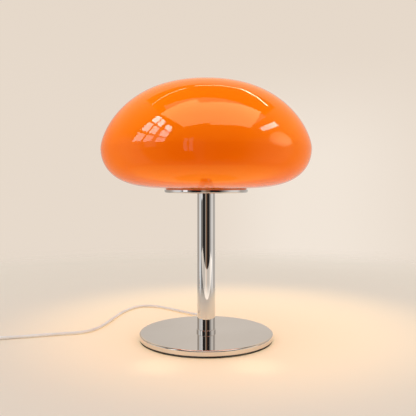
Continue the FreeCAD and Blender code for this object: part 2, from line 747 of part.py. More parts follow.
def glass_skin(widest, crown, belly, opening, equator):
    """Points up one skin of the glass, from its opening past the widest line to the crown."""
    points = []
    for step in range(BELLY_POINTS):
        # The points crowd towards the widest line, where the belly turns most.
        share = math.sin(math.pi / 2 * step / BELLY_POINTS)
        radius = opening + (widest - opening) * share
        drop = oval_height(radius, widest, belly, BELLY_RADIUS_POWER, BELLY_HEIGHT_POWER)
        points.append(Vector(radius, equator - drop, 0))
    for step in range(CROWN_POINTS + 1):
        radius = widest * math.cos(math.pi / 2 * step / CROWN_POINTS)
        rise = oval_height(max(radius, 0.0), widest, crown, CROWN_RADIUS_POWER, CROWN_HEIGHT_POWER)
        points.append(Vector(radius, equator + rise, 0))
    points[-1] = Vector(0, equator + crown, 0)
    return points


def smooth_curve(points):
    """A spline through the points that ends level at the crown."""
    curve = Part.BSplineCurve()
    start = (points[1] - points[0]).normalize()
    curve.interpolate(Points=points, InitialTangent=start, FinalTangent=Vector(-1, 0, 0))
    return curve


def make_shade(s, gasket_top):
    """The glass, blown round and cut flat below: one wall of even thickness."""
    rim_height = gasket_top.value + s.seat_gap.value
    widest, wall = s.shade_radius.value, s.shade_wall.value
    crown, opening = s.shade_above.value, s.shade_opening_radius.value
    rim = s.shade_rim_radius.value
    equator = rim_height + s.shade_below.value
    drawn_in = oval_height(rim, widest, 1.0, BELLY_RADIUS_POWER, BELLY_HEIGHT_POWER)
    belly = s.shade_below.value / drawn_in

    outside = smooth_curve(glass_skin(widest, crown, belly, rim, equator))
    inside = smooth_curve(glass_skin(widest - wall, crown - wall, belly - wall, opening, equator))
    body = new_body("glass_shade")
    sketch = new_sketch(body, "XZ_Plane", "glass_section")
    inner_lip, outer_lip = inside.StartPoint, outside.StartPoint
    mouth = Vector(opening, rim_height, 0)
    edges = [outside, Part.LineSegment(outside.EndPoint, inside.EndPoint), inside,
             Part.LineSegment(inner_lip, mouth), Part.LineSegment(mouth, outer_lip)]
    for edge in edges:
        sketch.addGeometry(edge, False)
    revolve(body, sketch)
    return body


# ---------------------------------------------------------------- round cord
def tube(path, radius):
    """A solid tube of that radius along a wire, and its volume against section times length."""
    start = path.OrderedEdges[0]
    heading = start.tangentAt(start.FirstParameter)
    ring = Part.Wire(Part.makeCircle(radius, path.OrderedVertexes[0].Point, heading))
    solid = path.makePipeShell([ring], True, False)
    return solid, solid.Volume / (math.pi * radius ** 2 * path.Length)


def cord_wire(points):
    """Straight runs joined by tangent arcs, each arc as large as its two runs allow."""
    spots = [Vector(*point) for point in points]
    edges, radii = [], []
    last = spots[0]
    for before, corner, after in zip(spots, spots[1:], spots[2:]):
        arriving, leaving = (corner - before), (after - corner)
        reach = BEND_SHARE * min(arriving.Length, leaving.Length)
        turn = arriving.getAngle(leaving)
        radius = reach / math.tan(turn / 2)
        radii.append(radius)
        first = corner - arriving.normalize() * reach
        second = corner + leaving.normalize() * reach
        inward = (first + second) / 2 - corner
        to_centre = radius / math.cos(turn / 2)
        middle = corner + inward.normalize() * (to_centre - radius)
        edges.append(Part.LineSegment(last, first).toShape())
        edges.append(Part.Arc(first, middle, second).toShape())
        last = second
    edges.append(Part.LineSegment(last, spots[-1]).toShape())
    return Part.Wire(edges), radii


def lay_cord(label, points, radius):
    path, radii = cord_wire(points)
    solid, share = tube(path, radius)
    print("{}: length {:.1f} mm, tightest bend {:.1f} mm, volume against section times length {:.4f}"
          .format(label, path.Length, min(radii), share))
    placed_feature(label, solid)
    return path.Length


def arc_from(start, heading, end):
    """The arc that leaves start along heading and ends at end."""
    chord = end - start
    turn = heading.getAngle(chord)
    side = heading - chord * (heading.dot(chord) / chord.Length ** 2)
    middle = (start + end) / 2 + side.normalize() * (chord.Length / 2 * math.tan(turn / 2))
    return Part.Arc(start, middle, end).toShape()


def two_arcs(start, leaving, end, arriving):
    """Two arcs, smooth where they meet, from one place and heading to another."""
    chord = end - start
    both = leaving + arriving
    bend = 2 * (1 - leaving.dot(arriving))
    along = chord.dot(both)
    reach = (math.sqrt(along ** 2 + bend * chord.dot(chord)) - along) / bend
    joint = (start + leaving * reach + end - arriving * reach) / 2
    heading = (end - arriving * reach - (start + leaving * reach)).normalize()
    return [arc_from(start, leaving, joint), arc_from(joint, heading, end)]


def coil_place(s, turns):
    """A point of the wound cord after so many turns: it winds in and out, layer on layer."""
    pitch = s.coil_pitch.value
    inner = s.coil_middle_radius.value - pitch * TURNS_PER_LAYER / 2
    swing = turns % (2 * TURNS_PER_LAYER)
    radius = inner + pitch * abs(TURNS_PER_LAYER - swing)
    layer, within = divmod(turns + CLIMB_TURNS / 2, TURNS_PER_LAYER)
    climb = min(within, CLIMB_TURNS) / CLIMB_TURNS if layer > 0 else 1.0
    last_layer = COIL_TURNS // TURNS_PER_LAYER - 1
    if layer > last_layer:
        layer, climb = last_layer, 1.0
    smooth = climb * climb * (3 - 2 * climb)
    level = max(layer - 1, 0) + (smooth if layer > 0 else 0.0)
    height = s.coil_lift.value + s.cord_radius.value + pitch * level
    angle = math.pi - 2 * math.pi * turns
    return Vector(COIL_PLACE.x + radius * math.cos(angle), COIL_PLACE.y + radius * math.sin(angle), height)


def coil_heading(s, turns):
    ahead, behind = coil_place(s, turns + TURN_NUDGE), coil_place(s, turns - TURN_NUDGE)
    return (ahead - behind).normalize()


def coil_gap(s):
    """The least clear gap between one turn of the coil and any other, measured on points."""
    count = COIL_TURNS * GAP_POINTS_PER_TURN
    spots = [coil_place(s, index / GAP_POINTS_PER_TURN) for index in range(count + 1)]
    least = min((spot - other).Length
                for index, spot in enumerate(spots)
                for other in spots[index + GAP_POINTS_APART:])
    return least - 2 * s.cord_radius.value


def make_coil(s):
    """The spare cord, wound in four layers of three turns, with a straight end each way."""
    straight = 2 * s.cord_radius.value
    heading = Vector(0, 1, 0)
    edges = []
    steps = COIL_TURNS * STEPS_PER_TURN
    spots = [coil_place(s, step / STEPS_PER_TURN) for step in range(steps + 1)]
    headings = [coil_heading(s, step / STEPS_PER_TURN) for step in range(steps + 1)]
    headings[0] = heading
    headings[-1] = heading
    edges.append(Part.LineSegment(spots[0] - heading * straight, spots[0]).toShape())
    for step in range(steps):
        edges.extend(two_arcs(spots[step], headings[step], spots[step + 1], headings[step + 1]))
    edges.append(Part.LineSegment(spots[-1], spots[-1] + heading * straight).toShape())
    path = Part.Wire(edges)
    solid, share = tube(path, s.cord_radius.value)
    print("cord_coil: length {:.1f} mm, least gap to itself {:.2f} mm, volume share {:.4f}"
          .format(path.Length, coil_gap(s), share))
    placed_feature("cord_coil", solid)
    return spots[0] - heading * straight, spots[-1] + heading * straight, path.Length


def make_tie(s):
    """A strap round the turns at one side of the coil, with a short loose end."""
    pitch = s.coil_pitch
    spread = pitch * (TURNS_PER_LAYER / 2.0)
    near = s.coil_middle_radius - spread - s.cord_radius - s.tie_gap * 2
    far = s.coil_middle_radius + spread + s.cord_radius + s.tie_gap
    low = s.coil_lift - s.tie_gap
    layers = COIL_TURNS // TURNS_PER_LAYER
    high = s.coil_lift + s.cord_radius * 2 + pitch * (layers - 1) + s.tie_gap
    wall = s.tie_wall
    outer = block("tie_outer", far - near + wall * 2, s.tie_width, high - low + wall * 2,
                  near - wall, -(s.tie_width / 2), low - wall)
    hollow = block("tie_hollow", far - near, s.tie_width + OVERSHOOT * 2, high - low,
                   near, -(s.tie_width / 2) - OVERSHOOT, low)
    tail = block("tie_tail", s.tie_tail, s.tie_width, wall, far, -(s.tie_width / 2), high)
    strap = without("tie_strap", fused("tie_blank", [outer, tail]), hollow)
    strap.Placement = Placement(COIL_PLACE, Rotation(Vector(0, 0, 1), TIE_ANGLE))
    finished("coil_tie", strap)


def make_inner_cord(s, nose_tip):
    """The sheath in the base, held by the bushing and its stop ring."""
    sheath = rod("sheath", s.cord_radius, nose_tip - s.sheath_end, 0, 0, 0)
    laid_along(sheath, "Y")
    move(sheath, 0, s.sheath_end, s.cord_height)
    finished("cord_in_base", sheath)


def make_inner_lead(s, board_top):
    """The bare twin lead: under the rod's end, up its bore and over into the socket."""
    bend = s.lead_turn_radius.value
    low, high = s.lead_height.value, board_top.value + s.socket_height.value / 2
    socket_face = s.socket_reach.value
    start = Vector(0, s.sheath_end.value, s.cord_height.value)
    level = [start, Vector(0, (s.sheath_end - s.lead_straight).value, s.cord_height.value),
             Vector(0, (s.weight_opening_radius - s.lead_dip_inset).value, low), Vector(0, bend, low)]
    dip, _ = cord_wire([tuple(spot) for spot in level])
    share = bend * (1 - math.sqrt(0.5))
    edges = list(dip.Edges)
    edges.append(Part.Arc(Vector(0, bend, low), Vector(0, share, low + share),
                          Vector(0, 0, low + bend)).toShape())
    edges.append(Part.LineSegment(Vector(0, 0, low + bend), Vector(0, 0, high - bend)).toShape())
    edges.append(Part.Arc(Vector(0, 0, high - bend), Vector(share, 0, high - share),
                          Vector(bend, 0, high)).toShape())
    edges.append(Part.LineSegment(Vector(bend, 0, high), Vector(socket_face, 0, high)).toShape())
    solid, share = tube(Part.Wire(edges), s.lead_radius.value)
    print("inner_lead: volume against section times length {:.4f}".format(share))
    placed_feature("inner_lead", solid)


# ---------------------------------------------------------------- push switch on the cord
def case_shell(s, label, upside_down):
    """One half of the switch case, drawn with its open side at the parting line."""
    body = new_body(label)
    plan = new_sketch(body, "XY_Plane", label + "_plan")
    draw_rounded_rectangle(plan, s.case_length, s.case_width, s.case_corner)
    pad(body, plan, s.case_half)
    rounded(body, s.case_round, at_height(0))
    room = new_sketch(body, "XY_Plane", label + "_room", s.case_half)
    draw_rounded_rectangle(room, s.case_length - s.case_wall * 2, s.case_width - s.case_wall * 2,
                           s.case_corner - s.case_wall)
    pocket(body, room, s.case_half - s.case_wall)
    for sign in (1, -1):
        boss = new_sketch(body, "XY_Plane", "{}_boss_{}".format(label, "ab"[sign > 0]), s.case_wall)
        across = s.boss_y * sign * (-1 if upside_down else 1)
        draw_circle(boss, s.boss_x * sign, across, s.boss_radius)
        pad(body, boss, s.case_half - s.case_wall)
    entry = new_sketch(body, "YZ_Plane", label + "_entry", -(s.case_length / 2) - OVERSHOOT)
    draw_circle(entry, 0, s.case_half, s.cord_radius + s.cord_gap)
    bore = body.newObject("PartDesign::Pocket", label + "_cord_bore")
    bore.Profile = entry
    bore.Reversed = True
    bind(bore, "Length", s.case_length + OVERSHOOT * 2)
    DOC.recompute()
    return body


def make_switch(s):
    bottom = case_shell(s, "switch_bottom", False)
    top = case_shell(s, "switch_top", True)
    head_hole = s.case_screw_head + s.case_screw_gap * 2
    shank_hole = s.case_screw_radius + s.case_screw_gap
    seat_depth = s.case_screw_depth + s.case_screw_gap
    for sign in (1, -1):
        letter = "ab"[sign > 0]
        x, y = s.boss_x * sign, s.boss_y * sign
        through = new_sketch(bottom, "XY_Plane", "screw_way_" + letter, s.case_half)
        draw_circle(through, x, y, shank_hole)
        pocket(bottom, through, s.case_half)
        seat = new_sketch(bottom, "XY_Plane", "screw_seat_" + letter, seat_depth)
        draw_circle(seat, x, y, head_hole)
        pocket(bottom, seat, seat_depth)
        blind = new_sketch(top, "XY_Plane", "screw_end_" + letter, s.case_half)
        draw_circle(blind, x, -y, shank_hole)
        pocket(top, blind, s.case_screw_length - s.case_half + s.case_screw_gap)
    for sign in (1, -1):
        rib = new_sketch(bottom, "XY_Plane", "board_rib_" + "ab"[sign > 0], s.case_wall)
        middle = (s.switch_board_length / 2 - s.case_wall) * sign
        draw_rectangle(rib, middle - s.case_wall / 2, middle + s.case_wall / 2,
                       -(s.switch_board_width / 2), s.switch_board_width / 2)
        pad(bottom, rib, s.switch_rib_height)
    opening = new_sketch(top, "XY_Plane", "button_opening", s.case_half)
    draw_circle(opening, 0, 0, s.button_radius + s.button_gap)
    pocket(top, opening, s.case_half)
    top.Placement = Placement(Vector(0, 0, 0), Rotation(Vector(1, 0, 0), 180))
    move(top, SWITCH_PLACE.x, SWITCH_PLACE.y, s.case_half * 2)
    move(bottom, SWITCH_PLACE.x, SWITCH_PLACE.y, 0)

    screws = []
    low = s.case_screw_gap
    for sign in (1, -1):
        x, y = s.boss_x * sign + SWITCH_PLACE.x, s.boss_y * sign + SWITCH_PLACE.y
        head = rod("case_screw_head", s.case_screw_head, s.case_screw_depth, x, y, low)
        shank = rod("case_screw_shank", s.case_screw_radius, s.case_screw_length - low, x, y, low)
        screws.append(fused("case_screw", [head, shank]))
    group("switch_screws", screws)

    board_low = s.case_wall + s.switch_rib_height
    board_top = board_low + s.switch_board_thick
    x, y = as_size(SWITCH_PLACE.x), as_size(SWITCH_PLACE.y)
    finished("switch_board", centred_block("board_blank", s.switch_board_length, s.switch_board_width,
                                           s.switch_board_thick, x, y, board_low))
    contact = centred_block("contact_body", s.contact_block_side, s.contact_block_side,
                            s.contact_block_height, x, y, board_top)
    well = rod("contact_well", s.plunger_radius + s.button_gap, s.contact_block_height + OVERSHOOT,
               x, y, board_top)
    finished("push_contact", without("contact_bored", contact, well))

    top_inside = s.case_half * 2 - s.case_wall
    flange_top = top_inside - s.button_gap
    flange_low = flange_top - s.button_flange_thick
    plunger_top = flange_low - s.button_gap
    finished("contact_plunger", rod("plunger", s.plunger_radius, s.plunger_length, x, y,
                                    plunger_top - s.plunger_length))
    button_top = s.case_half * 2 + s.button_proud
    button = turned("switch_button", [
        (0, flange_low), (s.button_radius + s.button_flange, flange_low),
        (s.button_radius + s.button_flange, flange_top), (s.button_radius, flange_top),
        (s.button_radius, button_top), (0, button_top)])
    rounded(button, s.button_gap * 2, on_rim(s.button_radius, button_top))
    move(button, x, y, 0)


# ---------------------------------------------------------------- plug
def make_plug(s):
    """A flat low-voltage plug: moulded grip, metal sleeve, tongue and four contacts."""
    tail = PLUG_TAIL
    axis_y, axis_z = as_size(tail.y), as_size(tail.z)
    grip_start = s.plug_nose_length + tail.x
    grip_end = grip_start + s.plug_grip_length

    grip = block("grip_blank", s.plug_grip_length, s.plug_grip_width, s.plug_grip_height,
                 grip_start, axis_y - s.plug_grip_width / 2, axis_z - s.plug_grip_height / 2)
    DOC.recompute()
    soft = DOC.addObject("Part::Fillet", "grip_soft")
    soft.Base = grip
    every = range(1, len(grip.Shape.Edges) + 1)
    soft.Edges = [(number, s.plug_grip_round.value, s.plug_grip_round.value) for number in every]
    nose = DOC.addObject("Part::Cone", "plug_nose")
    bind(nose, "Radius1", s.plug_nose_tip)
    bind(nose, "Radius2", s.plug_nose_root)
    bind(nose, "Height", s.plug_nose_length + s.plug_grip_round)
    laid_along(nose, "X")
    move(nose, tail.x, axis_y, axis_z)
    buried = s.plug_shell_buried + s.plug_fit
    width, height = s.plug_shell_width + s.plug_fit * 2, s.plug_shell_height + s.plug_fit * 2
    room = block("sleeve_room", buried + OVERSHOOT, width, height,
                 grip_end - buried, axis_y - width / 2, axis_z - height / 2)
    finished("plug_grip", without("grip_bored", fused("grip_moulding", [soft, nose]), room))

    sleeve_start = grip_end - s.plug_shell_buried
    sleeve_length = s.plug_shell_buried + s.plug_shell_length
    wall = s.plug_shell_wall
    sleeve = block("sleeve_blank", sleeve_length, s.plug_shell_width, s.plug_shell_height, sleeve_start,
                   axis_y - s.plug_shell_width / 2, axis_z - s.plug_shell_height / 2)
    hollow = block("sleeve_hollow", sleeve_length + OVERSHOOT * 2, s.plug_shell_width - wall * 2,
                   s.plug_shell_height - wall * 2, sleeve_start - OVERSHOOT,
                   axis_y - s.plug_shell_width / 2 + wall, axis_z - s.plug_shell_height / 2 + wall)
    finished("plug_sleeve", without("sleeve_open", sleeve, hollow))

    tongue_width = s.plug_shell_width - wall * 2 - s.plug_fit * 2
    tongue_low = axis_z - s.plug_shell_height / 2 + wall + s.plug_fit
    tongue_length = sleeve_length - s.tongue_setback
    finished("plug_tongue", block("tongue_blank", tongue_length, tongue_width, s.tongue_height,
                                  sleeve_start, axis_y - tongue_width / 2, tongue_low))
    contacts = []
    tongue_end = sleeve_start + tongue_length
    for index in range(CONTACT_COUNT):
        across = s.contact_pitch * (index - (CONTACT_COUNT - 1) / 2)
        contacts.append(block("gilt_contact", s.contact_length, s.contact_width, s.contact_thick,
                              tongue_end - s.contact_length - s.tongue_setback,
                              axis_y + across - s.contact_width / 2, tongue_low + s.tongue_height))
    group("plug_contacts", contacts)


# ---------------------------------------------------------------- the whole lamp
def make_lamp():
    fill_sheet()
    s = Sizes()
    cover_top, ceiling, rod_low = make_base(s)
    nose_tip = make_bushing(s, ceiling)
    make_cord_stop(s)
    make_inner_cord(s, nose_tip)
    plate_low, plate_top = make_stem(s, cover_top, rod_low)
    gasket_top = make_plate(s, plate_low, plate_top)
    board_top = make_light(s, plate_top)
    make_inner_lead(s, board_top)
    make_shade(s, gasket_top)

    exit_point = (0, nose_tip.value, s.cord_height.value)
    case_right = SWITCH_PLACE.x + CORD_INSIDE_CASE
    case_left = SWITCH_PLACE.x - CORD_INSIDE_CASE
    middle = s.case_half.value
    total = lay_cord("cord_to_switch", [exit_point] + FLOOR_RUN + [(case_right, SWITCH_PLACE.y, middle)],
                     s.cord_radius.value)
    make_switch(s)
    coil_in, coil_out, coil_length = make_coil(s)
    make_tie(s)
    total += coil_length
    to_coil = [(case_left, SWITCH_PLACE.y, middle)] + COIL_APPROACH + [tuple(coil_in)]
    total += lay_cord("cord_to_coil", to_coil, s.cord_radius.value)
    total += lay_cord("cord_to_plug", [tuple(coil_out)] + PLUG_APPROACH + [tuple(PLUG_TAIL)],
                      s.cord_radius.value)
    make_plug(s)
    print("cord outside the base: {:.0f} mm with {:.0f} mm inside the switch"
          .format(total + 2 * CORD_INSIDE_CASE, 2 * CORD_INSIDE_CASE))


def check_and_write():
    """Stop on anything that failed to build, then write one file for each part."""
    DOC.recompute()
    for thing in DOC.Objects:
        if "Invalid" in thing.State or "Error" in thing.State:
            raise RuntimeError("{} is {}".format(thing.Label, thing.State))
    os.makedirs("parts", exist_ok=True)
    for part in PARTS:
        shape = part.Shape
        if shape.isNull() or not shape.isValid() or not shape.Solids:
            raise RuntimeError(part.Label + " has no sound shape")
        shape.exportStep(os.path.join("parts", part.Label + ".step"))
        print("{:18s} solids {:2d}  volume {:10.1f}".format(part.Label, len(shape.Solids), shape.Volume))


make_lamp()
check_and_write()
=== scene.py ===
"""Looks of the mushroom table lamp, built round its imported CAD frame.

Metres, Z up: the stem stands on the Z axis, the lamp faces -Y and its cord leaves towards +Y.
"""

import math

import bmesh
import bpy
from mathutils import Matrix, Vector


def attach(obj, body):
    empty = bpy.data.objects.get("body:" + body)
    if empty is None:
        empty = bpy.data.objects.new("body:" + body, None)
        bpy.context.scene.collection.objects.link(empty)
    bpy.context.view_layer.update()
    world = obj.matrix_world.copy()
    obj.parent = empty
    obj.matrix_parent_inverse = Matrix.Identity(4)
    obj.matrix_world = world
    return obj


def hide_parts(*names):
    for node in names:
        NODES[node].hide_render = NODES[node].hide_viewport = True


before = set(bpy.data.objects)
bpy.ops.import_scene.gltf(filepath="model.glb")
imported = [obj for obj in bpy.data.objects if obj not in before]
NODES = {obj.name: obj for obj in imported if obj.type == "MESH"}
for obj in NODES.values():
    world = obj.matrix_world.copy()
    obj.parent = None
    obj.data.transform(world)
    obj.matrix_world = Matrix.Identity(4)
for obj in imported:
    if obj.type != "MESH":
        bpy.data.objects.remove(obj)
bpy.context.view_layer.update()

# ---------------------------------------------------------------- camera
PHOTO_SIDE = 416
FOCAL_PIXELS = 577.9
SENSOR_WIDTH = 36.0
CAMERA_PLACE = (0.0, -0.583, 0.1599)
LAMP_AXIS_PIXELS = 206.2
HORIZON_PIXELS = 179.7

# ---------------------------------------------------------------- the cord's route
CORD_RADIUS = 0.0015
CORD_EXIT = (0.0, 0.0741, 0.0040)
FLOOR_RUN = [
    (0.0, 0.083, 0.0036), (-0.010, 0.0915, 0.0022), (-0.023, 0.105, 0.0015),
    (-0.046, 0.128, 0.0015), (-0.066, 0.143, 0.0015), (-0.086, 0.141, 0.0015),
    (-0.099, 0.113, 0.0015), (-0.106, 0.078, 0.0015), (-0.112, 0.042, 0.0015),
    (-0.124, 0.017, 0.0015), (-0.151, 0.011, 0.0015), (-0.181, 0.002, 0.0015),
    (-0.210, -0.006, 0.0015), (-0.232, -0.016, 0.0050),
]
THROUGH_SWITCH = [(-0.262, -0.016, 0.0050), (-0.284, -0.016, 0.0050)]
COIL_APPROACH = [(-0.3093, -0.016, 0.0050), (-0.3197, -0.010, 0.0037), (-0.32585, 0.0004, 0.0024)]
PLUG_APPROACH = [(-0.32585, 0.044, 0.0129), (-0.3192, 0.0553, 0.0086), (-0.3079, 0.0618, 0.0043)]
PLUG_TAIL = (-0.292, 0.0618, 0.0043)
COIL_PLACE = Vector((-0.304, 0.026, 0.0))
COIL_MIDDLE_RADIUS = 0.0166
COIL_PITCH = 0.0035
COIL_FLOOR_GAP = 0.0009
COIL_TURNS = 12
TURNS_PER_LAYER = 3
POINTS_PER_TURN = 24
LAYER_START = 0.25
CLIMB_TURNS = 0.5

# ---------------------------------------------------------------- blown glass, as in the CAD part
SHADE_RADIUS = 0.105
SHADE_EQUATOR = 0.1909
SHADE_CROWN = 0.0691
SHADE_RIM_RADIUS = 0.043
SHADE_BELOW = 0.0396
SHADE_MOUTH = 0.035
SHADE_WALL = 0.0025
CROWN_POWERS = (2.42, 1.585)
BELLY_POWERS = (4.52, 2.09)
OUTSIDE_POINTS, INSIDE_POINTS, SHADE_STEPS = 48, 40, 192
SAME_POINT = 1e-6
GRAIN_DEPTH = 0.0002

# ---------------------------------------------------------------- table top and backdrop
FLOOR_REACH = 1.6
FLOOR_DROP = 0.0002
FLOOR_SIDES = 96
FLOOR_COLOUR = (0.80, 0.71, 0.60, 1)
# Metres from the axis where the table starts and ends to fade, for the camera and for mirrors.
FADE_SEEN = (0.36, 0.85)
FADE_MIRRORED = (0.20, 0.33)
BACKDROP_LOW = (0.745, 0.640, 0.535, 1)
BACKDROP_MIDDLE = (0.80, 0.70, 0.60, 1)
BACKDROP_HIGH = (0.79, 0.69, 0.59, 1)
# A brighter patch of painted light on the backdrop, to the right of the lamp.
BACKDROP_LIT_PATCH = (0.885, 0.79, 0.69, 1)
AMBIENT_ALL = 0.82
AMBIENT_ABOVE = 0.3
# How steeply upward the low walls give way to the high ones.
WALLS_MEET = (0.28, 0.46)
BROWN_WALL = (0.30, 0.16, 0.09, 1)
# The opening that shows the dark ceiling, measured one metre over the lamp.
CEILING_SHIFT = 0.10
CEILING_HALF_WIDTH = 0.76
CEILING_HALF_DEPTH = 0.82
CEILING_SOFTNESS = 0.02
LEVEL_LIMIT = 0.02

# ---------------------------------------------------------------- lights
# Colours of the lights, then the places they share; a pane column is its place and its width.
SOFT_WHITE = (1.0, 0.97, 0.93)
DAYLIGHT = (0.97, 0.98, 1.0)
BOX_YELLOW = (1.0, 0.99, 0.50)
EDGE_CREAM = (1.0, 0.90, 0.60)
BLOB_YELLOW = (1.0, 1.0, 0.55)
TABLE_ORANGE = (1.0, 0.60, 0.09)
GLOW_TINT = (0.32, 1.0, 0.10)
POOL_AMBER = (1.0, 0.70, 0.28)
GLINT_CREAM = (1.0, 0.93, 0.66)
SHEEN_CREAM = (1.0, 0.89, 0.78)
CEILING_HEIGHT = 1.21
WALL_DISTANCE = 1.0
BOX_TURN = 14
EDGE_WIDTH = 0.022
PANE_COLUMNS = ((-0.29, 0.21), (-0.55, 0.21), (-0.96, 0.34))
PANE_GLARE = (36.0, 66.0, 100.0)
PANE_TALL = 0.33
LOWEST_PANE = 0.60
PANE_STEP = 0.41
TABLE_SPREAD = 105
SPOT_CONE = 31
SPOT_BLEND = 0.8
SHEEN_TURN = 9.5


# ---------------------------------------------------------------- node wiring
class Wiring:
    """Adds nodes to one tree and joins them."""

    def __init__(self, tree):
        self.tree = tree

    def add(self, kind, **settings):
        node = self.tree.nodes.new(kind)
        for name, value in settings.items():
            setattr(node, name, value)
        return node

    def feed(self, socket, source):
        if isinstance(source, bpy.types.NodeSocket):
            self.tree.links.new(source, socket)
        else:
            socket.default_value = source

    def math(self, operation, *sources):
        node = self.add("ShaderNodeMath", operation=operation)
        for socket, source in zip(node.inputs, sources):
            self.feed(socket, source)
        return node.outputs[0]

    def step(self, value, low, high, start=0.0, end=1.0):
        """start below low, end above high, smooth between them."""
        node = self.add("ShaderNodeMapRange", interpolation_type="SMOOTHSTEP")
        for socket, source in zip(node.inputs, (value, low, high, start, end)):
            self.feed(socket, source)
        return node.outputs[0]

    def mix(self, factor, first, second):
        node = self.add("ShaderNodeMix", data_type="RGBA")
        self.feed(node.inputs[0], factor)
        self.feed(node.inputs[6], first)
        self.feed(node.inputs[7], second)
        return node.outputs[2]

    def noise(self, vector, scale, detail=2.0):
        node = self.add("ShaderNodeTexNoise")
        self.feed(node.inputs["Vector"], vector)
        self.feed(node.inputs["Scale"], scale)
        node.inputs["Detail"].default_value = detail
        return node.outputs[0]

    def place(self):
        return self.add("ShaderNodeTexCoord").outputs["Object"]


def grey(value, warmth=0.0):
    """A grey that leans to orange by the share warmth."""
    return (value * (1 + warmth), value, value * (1 - warmth), 1.0)


def handled_group():
    """Slow clouding of a finish by handling: colour, roughness and a fine grain from one place."""
    tree = bpy.data.node_groups.new("handled_surface", "ShaderNodeTree")
    sockets = [("Clean", "NodeSocketColor"), ("Worn", "NodeSocketColor"),
               ("Smooth", "NodeSocketFloat"), ("Dull", "NodeSocketFloat"),
               ("Cloud Scale", "NodeSocketFloat"), ("Grain Scale", "NodeSocketFloat")]
    for name, kind in sockets:
        tree.interface.new_socket(name, in_out="INPUT", socket_type=kind)
    for name, kind in [("Color", "NodeSocketColor"), ("Roughness", "NodeSocketFloat"),
                       ("Grain", "NodeSocketFloat")]:
        tree.interface.new_socket(name, in_out="OUTPUT", socket_type=kind)
    wiring = Wiring(tree)
    given = wiring.add("NodeGroupInput").outputs
    result = wiring.add("NodeGroupOutput").inputs
    place = wiring.place()
    cloud = wiring.step(wiring.noise(place, given["Cloud Scale"], 3.0), 0.35, 0.70)
    wiring.feed(result["Color"], wiring.mix(cloud, given["Clean"], given["Worn"]))
    spread = wiring.math("SUBTRACT", given["Dull"], given["Smooth"])
    rough = wiring.math("MULTIPLY_ADD", cloud, spread, given["Smooth"])
    wiring.feed(result["Roughness"], rough)
    wiring.feed(result["Grain"], wiring.noise(place, given["Grain Scale"], 4.0))
    return tree


HANDLED = handled_group()


def finish(name, clean, worn, smooth, dull, cloud=30.0, grain=1500.0, relief=0.0, **constants):
    """A material whose colour, roughness and grain vary a little over the piece."""
    material = bpy.data.materials.new(name)
    material.use_nodes = True
    wiring = Wiring(material.node_tree)
    shader = material.node_tree.nodes["Principled BSDF"]
    handled = wiring.add("ShaderNodeGroup", node_tree=HANDLED)
    sources = {"Clean": clean, "Worn": worn, "Smooth": smooth, "Dull": dull,
               "Cloud Scale": cloud, "Grain Scale": grain}
    for socket, value in sources.items():
        handled.inputs[socket].default_value = value
    wiring.feed(shader.inputs["Base Color"], handled.outputs["Color"])
    wiring.feed(shader.inputs["Roughness"], handled.outputs["Roughness"])
    if relief:
        bump = wiring.add("ShaderNodeBump")
        bump.inputs["Strength"].default_value = relief
        bump.inputs["Distance"].default_value = GRAIN_DEPTH
        wiring.feed(bump.inputs["Height"], handled.outputs["Grain"])
        wiring.feed(shader.inputs["Normal"], bump.outputs[0])
    for socket, value in constants.items():
        shader.inputs[socket.replace("_", " ")].default_value = value
    return material


def make_finishes():
    """One finish for each material slot of the record."""
    metal = {"Metallic": 1.0}
    return {
        "chrome_cover": finish("chrome_cover", grey(0.69, 0.05), grey(0.66, 0.06), 0.02, 0.05,
                               cloud=18.0, **metal),
        "chrome_stem": finish("chrome_stem", grey(0.68, 0.01), grey(0.64, 0.02), 0.02, 0.045,
                              cloud=24.0, **metal),
        "orange_glass": finish("orange_glass", (0.88, 0.113, 0.0012, 1), (0.88, 0.104, 0.0009, 1),
                               0.012, 0.022, cloud=14.0, grain=9.0, IOR=1.5,
                               Specular_IOR_Level=0.14),
        "black_rubber": finish("black_rubber", grey(0.035), grey(0.008), 0.55, 0.75,
                               relief=0.5),
        "zinc_steel": finish("zinc_steel", grey(0.62, 0.03), grey(0.5, 0.06), 0.25, 0.45,
                             cloud=120.0, relief=0.1, **metal),
        "cast_weight": finish("cast_weight", grey(0.18), grey(0.12), 0.5, 0.7, cloud=60.0,
                              grain=900.0, relief=0.6, Metallic=0.6),
        "white_plastic": finish("white_plastic", grey(0.78, 0.03), grey(0.72, 0.05), 0.32, 0.45,
                                relief=0.25),
        "white_gloss": finish("white_gloss", grey(0.82, 0.02), grey(0.78, 0.03), 0.15, 0.25),
        # The clear gasket is painted orange, a painted glow from the orange glass that stands on
        # it.
        "clear_silicone": finish("clear_silicone", (0.95, 0.42, 0.10, 1), (0.92, 0.38, 0.09, 1),
                                 0.2, 0.35, IOR=1.41),
        "cast_aluminium": finish("cast_aluminium", grey(0.72), grey(0.6), 0.35, 0.55,
                                 cloud=80.0, relief=0.3, **metal),
        "white_board": finish("white_board", grey(0.8), grey(0.74, 0.02), 0.35, 0.5),
        "green_board": finish("green_board", (0.02, 0.16, 0.05, 1), (0.015, 0.12, 0.04, 1),
                              0.3, 0.45, relief=0.15),
        "light_chip": finish("light_chip", (0.9, 0.72, 0.18, 1), (0.85, 0.64, 0.12, 1),
                             0.3, 0.4),
        "opal_plastic": finish("opal_plastic", grey(0.86, 0.02), grey(0.82, 0.03), 0.35, 0.5,
                               relief=0.1),
        "cord_sheath": finish("cord_sheath", grey(0.83, 0.03), grey(0.77, 0.05), 0.32, 0.45,
                              cloud=60.0, relief=0.2),
        "lead_sheath": finish("lead_sheath", grey(0.8), grey(0.7, 0.03), 0.4, 0.5),
        "gilt_contact": finish("gilt_contact", (0.95, 0.70, 0.28, 1), (0.88, 0.6, 0.2, 1),
                               0.12, 0.25, **metal),
        "hook_strap": finish("hook_strap", grey(0.7, 0.03), grey(0.6, 0.04), 0.75, 0.9,
                             grain=4000.0, relief=1.0),
    }


